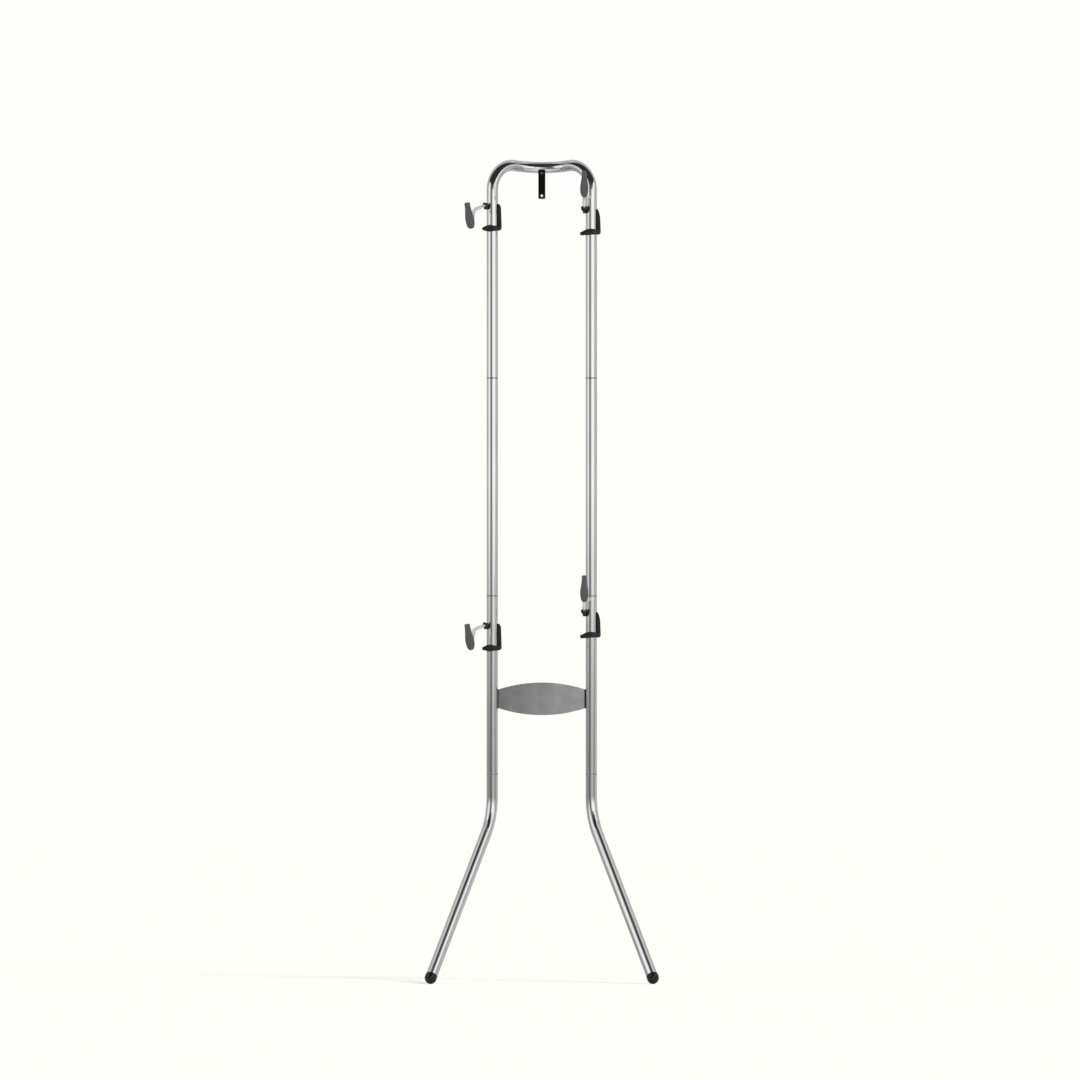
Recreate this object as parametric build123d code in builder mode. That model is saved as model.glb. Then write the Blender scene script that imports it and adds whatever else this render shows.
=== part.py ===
from build123d import *
from math import asin, atan2, cos, hypot, radians, sin, tan
import os

# A bicycle stand that leans on a wall and holds two bicycles one above the other.
# Lengths are in millimetres. X runs to the right, +Y points back to the wall, Z points up.
# The origin lies on the floor, in the middle of the box round the whole stand.

# Frame tubes
tube_diameter = 28.6
tube_wall = 1.5
upright_spacing = 250.5
arch_seam_height = 1527.5
middle_seam_height = 976.0
leg_seam_height = 525.5
spigot_length = 60.0
spigot_fit = 0.15
spigot_neck = 6.0
seam_chamfer = 0.5

# Top arch, whose middle stands back to the wall and dips a little
arch_corner_height = 2073.4
arch_bow = 75.0
arch_tilt = 9.3
arch_corner_radius = 64.0
arch_middle_radius = 100.0

# Legs and their rubber feet, the bend's corner measured down from the seam
leg_corner_drop = 109.1
leg_bend_radius = 150.0
foot_spread = 559.6
foot_forward = 300.0
foot_cap_wall = 1.0
foot_cap_collar = 8.0
foot_cap_fit = 0.05
foot_cap_lip = 0.4

# Cross plate between the lower tubes
plate_centre_height = 716.0
plate_height = 82.5
plate_end_height = 48.0
plate_thickness = 3.0
plate_bow = 11.0
plate_end_forward = 4.0
plate_lap = 1.0
saddle_wall = 3.0
saddle_fit = 0.05
saddle_front_angle = 189.0
saddle_back_angle = 66.0

# Self-tapping screws of the plate and the strap
screw_radius = 2.1
screw_length = 9.0
screw_head_radius = 4.2
screw_head_height = 2.6
screw_hole_fit = 0.05

# Wall strap, a flat strip rolled round the front of the arch tube.
# Its bottom is measured down from the arch's corners.
strap_width = 17.8
strap_thickness = 2.5
strap_fit = 0.45
strap_front_angle = 22.0
strap_screw_angle = 54.0
strap_bend_radius = 5.0
strap_bottom_drop = 92.4
strap_corner = 4.0
strap_hole_radius = 3.0
strap_hole_inset = 9.0

# Grip ring and grip shoe, the rubber linings between an arm's bracket and the upright
lining_thickness = 1.6
lining_fit = 0.05
lining_seat_fit = 0.05
lining_gap = 0.3
ring_height = 11.0
shoe_height = 8.4
shoe_start_angle = 12.0
shoe_end_angle = 172.0

# Bracket of an arm, measured from the level of its rod socket
lip_fit = 0.4
band_drop = 57.0
band_height = 17.4
band_radius = 23.6
band_tip_reach = 28.0
band_edge = 1.5
spine_reach = 24.0
spine_top_reach = 22.2
spine_top = 4.6
spine_slope = 8.6
spine_crest = 3.3
spine_depth = 15.0
spine_edge = 2.5
hook_radius = 21.6
hook_top = 4.0
hook_height = 13.6
hook_crest = 1.6
hook_slope = 9.0
hook_slope_radius = 16.0
hook_end_angle = 228.0
hook_edge = 1.4
socket_radius = 8.0
socket_length = 17.0
socket_back = 9.5
socket_tip_radius = 1.5
socket_floor = 7.0
socket_edge = 1.0
web_width = 8.0
web_height = 9.0
web_reach = 23.0

# Rod and pad of an arm
rod_diameter = 8.5
rod_fit = 0.1
rod_bend_radius = 14.0
arm_reach = 240.0
pad_height = 67.0
pad_width = 20.8
pad_thickness = 20.0
pad_edge = 2.0
pad_rod_drop = 6.0
pad_rod_cover = 8.0

# Rod corners of the right-hand arms, from the upright's axis at the level of the socket
right_socket = (-18.3, -18.8, 0.0)
right_rise = 33.7

# Rod corners of the left-hand arms, which reach outwards and slope down
left_socket = (-17.0, -20.0, 1.5)
left_knee = (-45.5, -28.0, -10.0)
left_cradle = (-53.3, -55.3)
left_pad_tilt = 9.5
left_pad_turn = -25.0

# Rod sockets: the upper two below the arch's corners, the lower two above the plate's centre
upper_left_drop = 110.1
upper_right_drop = 119.9
lower_left_rise = 185.5
lower_right_rise = 218.0

# Outlines, as shares of the sizes that they follow
left_band_shares = [
    (-0.95, 0.1),
    (-0.44, 0.95),
    (-0.2, 1.0),
    (0.38, 0.68),
    (0.87, 0.66),
    (0.87, -0.2),
    (0.66, -0.66),
    (-0.35, -1.0),
    (-0.88, -0.55),
]
right_band_shares = [
    (-1.04, -0.1),
    (-0.4, 0.9),
    (0.0, 1.0),
    (0.87, 0.66),
    (0.87, -0.3),
    (0.72, -0.7),
    (-0.07, -0.74),
    (-0.98, -1.0),
]
band_tab_shares = [(-0.4, -0.9), (-1.26, -0.68), (-1.26, -0.36), (-0.62, -0.2)]

# Pad sections from the bottom up: height, width and depth, as shares
pad_section_shares = [
    (0.0, 0.5, 0.5),
    (0.08, 0.78, 0.78),
    (0.33, 1.0, 1.0),
    (0.66, 0.78, 0.9),
    (1.0, 0.57, 0.72),
]
pad_corner_share = 0.3

# Sizes that follow from the ones above
tube_radius = tube_diameter / 2
bore_radius = tube_radius - tube_wall
spigot_radius = bore_radius - spigot_fit
spigot_bore = spigot_radius - tube_wall
foot_cap_radius = tube_radius + foot_cap_wall
leg_corner_height = leg_seam_height - leg_corner_drop
strap_bottom_height = arch_corner_height - strap_bottom_drop
upper_left_height = arch_corner_height - upper_left_drop
upper_right_height = arch_corner_height - upper_right_drop
lower_left_height = plate_centre_height + lower_left_rise
lower_right_height = plate_centre_height + lower_right_rise
upright_x = upright_spacing / 2
upright_y = (foot_forward + foot_cap_radius - arch_bow - tube_radius) / 2
foot_x = foot_spread / 2
rod_radius = rod_diameter / 2
lining_inner = tube_radius + lining_fit
lining_outer = lining_inner + lining_thickness
lining_seat = lining_outer + lining_seat_fit
lip_radius = tube_radius + lip_fit
tip_height = pad_height - pad_rod_drop - pad_rod_cover

# An overrun that serves all cuts
overrun = 5.0

os.makedirs("parts", exist_ok=True)


def export(part, node, place=Location()):
    """Write one finished piece under its node's name, moved to its place."""
    piece = part.moved(place)
    piece.label = node
    export_step(piece, f"parts/{node}.step")


def front_plane(origin):
    """A plane seen from the front: its X is right, its Y is up."""
    return Plane(origin=origin, x_dir=(1, 0, 0), z_dir=(0, -1, 0))


# Top arch: a bent tube that stands on the two upper tubes
def arch_route():
    """The arch's centre line, whose bow lies in a plane that tilts down to the wall."""
    tilt = radians(arch_tilt)
    bow_centre = arch_bow / cos(tilt) - arch_middle_radius
    reach = hypot(upright_x, bow_centre)
    run_angle = atan2(bow_centre, upright_x) + asin(arch_middle_radius / reach)
    corner_back = upright_x * tan(run_angle)
    middle_y = upright_y + corner_back * cos(tilt)
    middle_z = arch_corner_height - corner_back * sin(tilt)
    return FilletPolyline(
        (upright_x, upright_y, arch_seam_height),
        (upright_x, upright_y, arch_corner_height),
        (0, middle_y, middle_z),
        (-upright_x, upright_y, arch_corner_height),
        (-upright_x, upright_y, arch_seam_height),
        radius=[arch_corner_radius, arch_middle_radius, arch_corner_radius],
    )


with BuildLine() as arch_line:
    arch_route()
arch_middle = arch_line.line @ 0.5
strap_screw_lean = radians(strap_screw_angle)
strap_screw_axis = Vector(0, -cos(strap_screw_lean), -sin(strap_screw_lean))
strap_screw_plane = Plane(origin=arch_middle, x_dir=(1, 0, 0), z_dir=strap_screw_axis)

with BuildPart() as top_arch:
    with BuildLine() as route:
        arch_route()
    with BuildSketch(Plane(origin=route.line @ 0, z_dir=route.line % 0)):
        Circle(tube_radius)
        Circle(bore_radius, mode=Mode.SUBTRACT)
    sweep()
    ends = top_arch.edges().filter_by(GeomType.CIRCLE).group_by(Axis.Z)[0]
    chamfer(ends.group_by(SortBy.LENGTH)[-1], seam_chamfer)
    with BuildSketch(strap_screw_plane):
        Circle(screw_radius + screw_hole_fit)
    extrude(amount=tube_radius + overrun, mode=Mode.SUBTRACT)
export(top_arch.part, "top_arch")


# Straight tubes: the swaged top end of each one fits inside the tube above it
def spigot_outline(neck_bottom, top):
    """The half section of a swaged end: the tube up to its top seam, then the spigot."""
    return [
        (tube_radius, neck_bottom),
        (tube_radius, top - seam_chamfer),
        (tube_radius - seam_chamfer, top),
        (spigot_radius, top),
        (spigot_radius, top + spigot_length - seam_chamfer),
        (spigot_radius - seam_chamfer, top + spigot_length),
        (spigot_bore, top + spigot_length),
        (spigot_bore, neck_bottom + tube_wall),
        (bore_radius, neck_bottom),
    ]


def straight_tube(bottom, top):
    """A straight tube on the Z axis with a spigot above its top seam."""
    with BuildPart() as tube:
        with BuildSketch(Plane.XZ):
            with BuildLine():
                Polyline(
                    (bore_radius, bottom),
                    (tube_radius - seam_chamfer, bottom),
                    (tube_radius, bottom + seam_chamfer),
                    *spigot_outline(top - spigot_neck, top),
                    close=True,
                )
            make_face()
        revolve(axis=Axis.Z)
    return tube.part


upper_tube = straight_tube(middle_seam_height, arch_seam_height)

# The backs of the lower tubes have a hole for the cross plate's screw
with BuildPart() as lower_tube:
    add(straight_tube(leg_seam_height, middle_seam_height))
    with BuildSketch(Plane.XZ):
        with Locations((0, plate_centre_height)):
            Circle(screw_radius + screw_hole_fit)
    extrude(amount=-tube_radius - overrun, mode=Mode.SUBTRACT)

for side, word in ((-1, "left"), (1, "right")):
    on_upright = Location((side * upright_x, upright_y, 0))
    export(upper_tube, f"upper_tube_{word}", on_upright)
    export(lower_tube.part, f"lower_tube_{word}", on_upright)


# Legs: bent outwards and forwards, so that the stand leans on the wall
def leg_corners(side):
    """The corners of a leg's centre line, from its neck down to its foot."""
    return [
        (side * upright_x, upright_y, leg_seam_height - spigot_neck),
        (side * upright_x, upright_y, leg_corner_height),
        (side * foot_x, upright_y - foot_forward, foot_cap_radius),
    ]


def leg(side):
    """A bent leg with a spigot at its top."""
    neck, corner, foot = leg_corners(side)
    with BuildPart() as bent_leg:
        with BuildLine() as route:
            FilletPolyline(neck, corner, foot, radius=leg_bend_radius)
        with BuildSketch(Plane(origin=neck, z_dir=route.line % 0)):
            Circle(tube_radius)
            Circle(bore_radius, mode=Mode.SUBTRACT)
        sweep()
        with BuildSketch(front_plane((side * upright_x, upright_y, 0))):
            with BuildLine():
                Polyline(*spigot_outline(neck[2], leg_seam_height), close=True)
            make_face()
        revolve(axis=Axis(corner, (0, 0, 1)))
    return bent_leg.part


def foot_cap(side):
    """A rubber cap with a round end, pushed over a leg's open end."""
    corner, foot = leg_corners(side)[1:]
    along = (Vector(*corner) - Vector(*foot)).normalized()
    across = along.cross(Vector(0, 0, 1)).normalized()
    section = Plane(origin=foot, x_dir=across, z_dir=across.cross(along))
    seat = tube_radius + foot_cap_fit
    with BuildPart() as cap:
        with BuildSketch(section):
            with BuildLine():
                CenterArc((0, 0), foot_cap_radius, -90, 90)
                Polyline(
                    (foot_cap_radius, 0),
                    (foot_cap_radius, foot_cap_collar - foot_cap_lip),
                    (foot_cap_radius - foot_cap_lip, foot_cap_collar),
                    (seat, foot_cap_collar),
                    (seat, 0),
                    (0, 0),
                    (0, -foot_cap_radius),
                )
            make_face()
        revolve(axis=Axis(foot, along))
    return cap.part


for side, word in ((-1, "left"), (1, "right")):
    export(leg(side), f"leg_{word}")
    export(foot_cap(side), f"foot_cap_{word}")


def ring_sector(inner, outer, start_angle, end_angle):
    """The face of a part of a ring round the origin."""
    with BuildSketch() as sector:
        with BuildLine():
            inner_arc = CenterArc((0, 0), inner, start_angle, end_angle - start_angle)
            outer_arc = CenterArc((0, 0), outer, start_angle, end_angle - start_angle)
            Line(inner_arc @ 0, outer_arc @ 0)
            Line(inner_arc @ 1, outer_arc @ 1)
        make_face()
    return sector.sketch


# Cross plate: a bowed plate with a saddle at each end, screwed to the backs of the tubes
saddle_radius = tube_radius + saddle_fit
saddle_outer = saddle_radius + saddle_wall
plate_reach = upright_x - saddle_outer + plate_lap
plate_front_y = upright_y - plate_end_forward

with BuildPart() as saddle:
    with BuildSketch(Plane.XY.offset(plate_centre_height - plate_end_height / 2)):
        add(ring_sector(saddle_radius, saddle_outer, saddle_back_angle, saddle_front_angle))
    extrude(amount=plate_end_height)
    with BuildSketch(Plane.XZ):
        with Locations((0, plate_centre_height)):
            Circle(screw_radius + screw_hole_fit)
    extrude(amount=-saddle_outer - overrun, mode=Mode.SUBTRACT)
right_saddle = saddle.part.moved(Location((upright_x, upright_y, 0)))

with BuildPart() as cross_plate:
    with BuildSketch(Plane.XY.offset(plate_centre_height - plate_height / 2)):
        with BuildLine():
            front = ThreePointArc(
                (-plate_reach, plate_front_y),
                (0, plate_front_y - plate_bow),
                (plate_reach, plate_front_y),
            )
            back = ThreePointArc(
                (-plate_reach, plate_front_y + plate_thickness),
                (0, plate_front_y + plate_thickness - plate_bow),
                (plate_reach, plate_front_y + plate_thickness),
            )
            Line(front @ 0, back @ 0)
            Line(front @ 1, back @ 1)
        make_face()
    extrude(amount=plate_height)
    with BuildSketch(front_plane((0, upright_y, plate_centre_height))):
        with BuildLine():
            end_z = plate_end_height / 2
            crown_z = plate_height / 2
            top = ThreePointArc((-plate_reach, end_z), (0, crown_z), (plate_reach, end_z))
            base = ThreePointArc(
                (-plate_reach, -end_z), (0, -crown_z), (plate_reach, -end_z)
            )
            Line(top @ 0, base @ 0)
            Line(top @ 1, base @ 1)
        make_face()
    extrude(amount=plate_bow + tube_diameter, both=True, mode=Mode.INTERSECT)
    add(right_saddle)
    mirror(right_saddle, about=Plane.YZ)
export(cross_plate.part, "cross_plate")


# Screws: pan heads, one behind each end of the plate and one on the strap's rolled end
with BuildPart() as screw:
    with BuildSketch(Plane.XZ):
        with BuildLine():
            Polyline(
                (screw_head_radius, screw_head_height / 2),
                (screw_head_radius, 0),
                (screw_radius, 0),
                (screw_radius, -screw_length),
                (0, -screw_length),
                (0, screw_head_height),
            )
            RadiusArc(
                (0, screw_head_height),
                (screw_head_radius, screw_head_height / 2),
                screw_head_radius * 2,
            )
        make_face()
    revolve(axis=Axis.Z)

with BuildPart() as plate_screws:
    for side in (-1, 1):
        seat = (side * upright_x, upright_y + saddle_outer, plate_centre_height)
        add(screw.part.moved(Plane(origin=seat, z_dir=(0, 1, 0)).location))
export(plate_screws.part, "plate_screws")

strap_inner = tube_radius + strap_fit
strap_outer = strap_inner + strap_thickness
export(screw.part, "strap_screw", strap_screw_plane.offset(strap_outer).location)

# Wall strap: rolled round the arch tube, bent down, then flat against the wall
strap_bottom = strap_bottom_height - arch_middle.Z
strap_shelf = tube_radius - strap_thickness - strap_bend_radius
strap_section = Plane(origin=arch_middle, x_dir=(0, 1, 0), z_dir=(1, 0, 0))
bend_outer = strap_bend_radius + strap_thickness
bend_centre = (strap_shelf, -strap_outer - strap_bend_radius)

with BuildPart() as wall_strap:
    with BuildSketch(strap_section):
        with BuildLine():
            inner = CenterArc((0, 0), strap_inner, -90, strap_front_angle - 90)
            outer = CenterArc((0, 0), strap_outer, -90, strap_front_angle - 90)
            inner_bend = CenterArc(bend_centre, strap_bend_radius, 0, 90)
            outer_bend = CenterArc(bend_centre, bend_outer, 0, 90)
            Line(inner @ 1, outer @ 1)
            Line(inner @ 0, outer_bend @ 1)
            Line(outer @ 0, inner_bend @ 1)
            Polyline(
                outer_bend @ 0,
                (strap_shelf + bend_outer, strap_bottom),
                (strap_shelf + strap_bend_radius, strap_bottom),
                inner_bend @ 0,
            )
        make_face()
    extrude(amount=strap_width / 2, both=True)
    fillet(wall_strap.edges().group_by(SortBy.LENGTH)[0], strap_corner)
    with BuildSketch(front_plane((0, arch_middle.Y, strap_bottom_height))):
        with Locations((0, strap_hole_inset)):
            Circle(strap_hole_radius)
    extrude(amount=-tube_diameter, mode=Mode.SUBTRACT)
    with BuildSketch(strap_screw_plane):
        Circle(screw_radius + screw_hole_fit)
    extrude(amount=strap_outer + overrun, mode=Mode.SUBTRACT)
export(wall_strap.part, "wall_strap")


# Arms: each is built round an upright's axis, with its rod socket at zero height
band_bottom = -band_drop - band_height / 2
hook_middle = hook_top - hook_height / 2

with BuildPart() as grip_ring:
    with BuildSketch(Plane.XY.offset(-band_drop - ring_height / 2)):
        Circle(lining_outer)
        Circle(lining_inner, mode=Mode.SUBTRACT)
    extrude(amount=ring_height)

with BuildPart() as grip_shoe:
    with BuildSketch(Plane.XY.offset(hook_middle - shoe_height / 2)):
        add(ring_sector(lining_inner, lining_outer, shoe_start_angle, shoe_end_angle))
    extrude(amount=shoe_height)


def band(outline_shares):
    """The lower band, which crosses the front of the upright and ends in a pointed tab."""
    with BuildPart() as front:
        with BuildSketch(Plane.XY.offset(band_bottom)):
            Circle(band_radius)
            with Locations((0, spine_depth / 2)):
                Rectangle(
                    band_radius * 3,
                    band_radius * 2,
                    align=(Align.CENTER, Align.MIN),
                    mode=Mode.SUBTRACT,
                )
            with Locations((-lip_radius / 2, -lip_radius / 2)):
                Rectangle(
                    band_radius * 2,
                    band_radius * 2,
                    align=(Align.MAX, Align.MIN),
                    mode=Mode.SUBTRACT,
                )
            Polygon(
                *[(x * band_radius, y * band_radius) for x, y in band_tab_shares], align=None
            )
        extrude(amount=band_height)
        with BuildSketch(front_plane((0, 0, -band_drop))):
            with BuildLine():
                Polyline(
                    *[(x * band_tip_reach, z * band_height / 2) for x, z in outline_shares],
                    close=True,
                )
            make_face()
            fillet(vertices(), band_edge)
        extrude(amount=band_radius * 2, both=True, mode=Mode.INTERSECT)
    return front.part


# Spine: it joins the band to the hook on the right of the upright
with BuildPart() as spine:
    with BuildSketch(front_plane((0, 0, 0))):
        Polygon(
            (tube_radius, -band_drop),
            (spine_reach, -band_drop),
            (spine_top_reach, spine_top - spine_slope),
            (lip_radius + spine_crest, spine_top),
            (tube_radius, spine_top),
            align=None,
        )
    extrude(amount=spine_depth / 2, both=True)
    outer_side = spine.faces().sort_by(Axis.X)[-1]
    fillet(outer_side.edges().group_by(SortBy.LENGTH)[-1], spine_edge)

# Upper hook: it reaches round the back of the upright, and its top falls off outwards
with BuildPart() as hook:
    with BuildSketch(Plane.XZ):
        with BuildLine():
            Polyline(
                (lip_radius + hook_crest, hook_top),
                (lip_radius, hook_top),
                (lip_radius, hook_top - hook_height),
                (hook_radius, hook_top - hook_height),
                (hook_radius, hook_top - hook_slope),
            )
            RadiusArc(
                (lip_radius + hook_crest, hook_top),
                (hook_radius, hook_top - hook_slope),
                hook_slope_radius,
            )
        make_face()
    revolve(axis=Axis.Z, revolution_arc=hook_end_angle)
    arcs = hook.edges().filter_by(GeomType.CIRCLE).group_by(Axis.Z)[0]
    fillet(arcs.group_by(SortBy.RADIUS)[-1], hook_edge)


def socket_plane(socket, toward):
    """The plane across a rod's socket, facing the way that the rod leaves."""
    return Plane(origin=socket, z_dir=Vector(*toward) - Vector(*socket))


def rod(corners, radius):
    """A round rod bent along its corners."""
    with BuildPart() as bent_rod:
        with BuildLine() as route:
            FilletPolyline(*corners, radius=rod_bend_radius)
        with BuildSketch(Plane(origin=corners[0], z_dir=route.line % 0)):
            Circle(radius)
        sweep()
    return bent_rod.part


def bracket(corners, outline_shares):
    """The moulded bracket: band, spine, hook and the socket that holds the rod."""
    mouth = socket_length / 2
    across = socket_plane(*corners[:2]).offset(mouth - socket_floor)
    outward = (corners[0][0], corners[0][1], 0)
    section = Plane(
        origin=across.origin, x_dir=across.x_dir, z_dir=across.x_dir.cross(across.z_dir)
    )
    with BuildPart() as moulding:
        add(band(outline_shares))
        add(spine.part)
        add(hook.part)
        with BuildSketch(section):
            Polygon(
                (0, -mouth),
                (socket_tip_radius, -mouth),
                (socket_radius, -mouth + socket_back),
                (socket_radius, mouth - socket_edge),
                (socket_radius - socket_edge, mouth),
                (0, mouth),
                align=None,
            )
        revolve(axis=Axis(across.origin, across.z_dir))
        with BuildSketch(Plane(origin=(0, 0, hook_middle), x_dir=(0, 0, 1), z_dir=outward)):
            Rectangle(web_height, web_width)
        extrude(amount=web_reach)
        with BuildSketch(Plane.XY.offset(band_bottom)):
            Circle(lip_radius)
        extrude(amount=band_drop * 2, mode=Mode.SUBTRACT)
        for middle, height in ((-band_drop, ring_height), (hook_middle, shoe_height)):
            with BuildSketch(Plane.XY.offset(middle - height / 2 - lining_gap)):
                Circle(lining_seat)
            extrude(amount=height + lining_gap * 2, mode=Mode.SUBTRACT)
        add(rod(corners, rod_radius + rod_fit), mode=Mode.SUBTRACT)
    return moulding.part


def pad(corners, turn):
    """A rubber paddle moulded over a rod's upturned end, turned about it by an angle."""
    cradle, tip = (Vector(*corner) for corner in corners[-2:])
    upward = (tip - cradle).normalized()
    across = Vector(cos(radians(turn)), sin(radians(turn)), 0)
    forward = across.cross(upward).normalized()
    across = upward.cross(forward)
    bottom_axis = Axis(cradle, upward)
    bottom = Plane(origin=cradle - upward * pad_rod_drop, x_dir=across, z_dir=upward)
    with BuildPart() as paddle:
        for height, width, depth in pad_section_shares:
            with BuildSketch(bottom.offset(height * pad_height)):
                RectangleRounded(
                    width * pad_width,
                    depth * pad_thickness,
                    depth * pad_thickness * pad_corner_share,
                )
        loft()
        ends = [paddle.faces().sort_by(bottom_axis)[end] for end in (0, -1)]
        fillet([edge for face in ends for edge in face.edges()], pad_edge)
        add(rod(corners, rod_radius + rod_fit), mode=Mode.SUBTRACT)
    return paddle.part


def right_arm_corners():
    """A right-hand rod: up from its socket, straight forward, then up again."""
    x, y, z = right_socket
    return [
        (x, y, z - socket_length / 2 + socket_floor),
        (x, y, right_rise),
        (x, -arm_reach, right_rise),
        (x, -arm_reach, right_rise + tip_height),
    ]


def left_arm_corners():
    """A left-hand rod: outwards from its socket, down and forward, then up again."""
    start = socket_plane(left_socket, left_knee).offset(socket_floor - socket_length / 2)
    x, z = left_cradle
    lean = radians(left_pad_tilt)
    return [
        tuple(start.origin),
        left_knee,
        (x, -arm_reach, z),
        (x - tip_height * sin(lean), -arm_reach, z + tip_height * cos(lean)),
    ]


right_corners = right_arm_corners()
left_corners = left_arm_corners()
right_bracket = bracket(right_corners, right_band_shares)
left_bracket = bracket(left_corners, left_band_shares)
right_pad = pad(right_corners, 0)
left_pad = pad(left_corners, left_pad_turn)

for node, side, height, corners, moulding, paddle in (
    ("upper_left", -1, upper_left_height, left_corners, left_bracket, left_pad),
    ("upper_right", 1, upper_right_height, right_corners, right_bracket, right_pad),
    ("lower_left", -1, lower_left_height, left_corners, left_bracket, left_pad),
    ("lower_right", 1, lower_right_height, right_corners, right_bracket, right_pad),
):
    at_upright = Location((side * upright_x, upright_y, height))
    export(grip_ring.part, f"{node}_grip_ring", at_upright)
    export(grip_shoe.part, f"{node}_grip_shoe", at_upright)
    export(moulding, f"{node}_bracket", at_upright)
    export(rod(corners, rod_radius), f"{node}_rod", at_upright)
    export(paddle, f"{node}_pad", at_upright)
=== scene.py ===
import bmesh
import bpy
from math import asin, atan2, cos, hypot, pi, radians, sin, tan
from mathutils import Matrix, Vector


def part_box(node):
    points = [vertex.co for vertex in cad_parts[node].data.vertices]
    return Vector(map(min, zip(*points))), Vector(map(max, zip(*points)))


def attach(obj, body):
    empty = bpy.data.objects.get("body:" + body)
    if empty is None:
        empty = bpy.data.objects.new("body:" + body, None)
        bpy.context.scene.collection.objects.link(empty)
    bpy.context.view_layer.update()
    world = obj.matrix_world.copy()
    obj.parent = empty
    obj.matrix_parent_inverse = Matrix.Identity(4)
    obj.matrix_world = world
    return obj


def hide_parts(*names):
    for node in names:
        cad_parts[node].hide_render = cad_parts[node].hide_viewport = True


# A bicycle stand that leans on a wall. Lengths are in metres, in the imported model's own frame:
# X runs to the right, +Y points back to the wall, Z points up from the floor.

bl_info = {
    "name": "Wall-leaning bicycle stand",
    "version": (1, 0, 0),
    "blender": (4, 5, 0),
    "location": "3D View > Sidebar > Bicycle Stand",
    "description": "Dresses the packed bicycle stand and sets its stage",
    "category": "Object",
}

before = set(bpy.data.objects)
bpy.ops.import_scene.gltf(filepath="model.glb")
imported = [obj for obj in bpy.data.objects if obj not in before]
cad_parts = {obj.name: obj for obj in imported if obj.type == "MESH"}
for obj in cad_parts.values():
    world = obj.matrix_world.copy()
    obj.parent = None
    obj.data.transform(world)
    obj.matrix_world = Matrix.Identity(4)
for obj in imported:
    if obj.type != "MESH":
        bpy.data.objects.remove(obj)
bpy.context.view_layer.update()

arms = ("upper_left", "upper_right", "lower_left", "lower_right")
upper_tube_low, upper_tube_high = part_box("upper_tube_right")
upright_x = (upper_tube_low.x + upper_tube_high.x) / 2
upright_y = (upper_tube_low.y + upper_tube_high.y) / 2

# Tube ends: the share of a rounded lip's length that its outer facet takes
lip_facet = 0.3

# Foot caps: the wall, the play over the leg, the collar that holds it, and the groove round that
cap_wall = 0.001
cap_fit = 0.00005
cap_collar = 0.008
cap_edge = 0.0006
groove_height = 0.0051
groove_depth = 0.00045
groove_floor = 0.0004
groove_mouth = 0.0012

# Arms: each has its own axes, on its upright's axis and this far above its band's middle
band_drop = 0.057

# Rods: their corners from the arm's axes, how deep they sit in the sockets, and their lips
right_socket = Vector((-0.0183, -0.0188, 0.0))
right_rise = 0.0337
left_socket = Vector((-0.017, -0.02, 0.0015))
left_knee = Vector((-0.0455, -0.028, -0.01))
left_cradle_x = -0.0533
left_cradle_z = -0.0553
left_lean = radians(9.5)
rod_seat = 0.0015
rod_lip = 0.0005

# Brackets: the gap between lips and tube, the moulded skin, and the depths of what is cut away
lip_fit = 0.0004
skin_voxel = 0.0006
skin_rounds = 5
bracket_front = -0.045
bracket_back = 0.04
web_front = -0.035
web_back = -0.0095
left_rim_back = -0.011
left_notch_floor = 0.0015

# Outlines of (x, z) points that are cut from the brackets: outside the fins and beside the webs
fin_cut = (
    (0.0125, 0.014),
    (0.0125, 0.0035),
    (0.016, 0.001),
    (0.018, -0.0025),
    (0.0197, -0.0065),
    (0.0212, -0.0115),
    (0.0223, -0.018),
    (0.0231, -0.027),
    (0.032, -0.027),
    (0.032, 0.014),
)
right_web_cut = (
    (-0.0098, 0.0035),
    (0.004, 0.0035),
    (0.004, -0.013),
    (-0.0165, -0.013),
    (-0.0165, -0.0068),
)
left_web_cut = (
    (-0.01, 0.008),
    (0.004, 0.008),
    (0.004, -0.013),
    (-0.015, -0.013),
    (-0.015, -0.0085),
    (-0.01, -0.0065),
)

# Pads: how far they hang below the rod's last bend and stand above its end, and their outline
pad_drop = 0.006
pad_cover = 0.008
left_pad_turn = radians(-25)
pad_squareness = 3.2

# A pad's sections from its foot up: shares of its height, of its half width and of its half depth
pad_sections = (
    (0.0, 0.3, 0.3),
    (0.012, 0.46, 0.46),
    (0.04, 0.62, 0.62),
    (0.09, 0.79, 0.78),
    (0.16, 0.91, 0.9),
    (0.24, 0.98, 0.98),
    (0.32, 1.0, 1.0),
    (0.42, 0.98, 0.99),
    (0.52, 0.89, 0.94),
    (0.62, 0.78, 0.87),
    (0.73, 0.67, 0.8),
    (0.84, 0.6, 0.74),
    (0.93, 0.59, 0.71),
    (0.98, 0.58, 0.69),
    (1.0, 0.52, 0.63),
)


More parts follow.
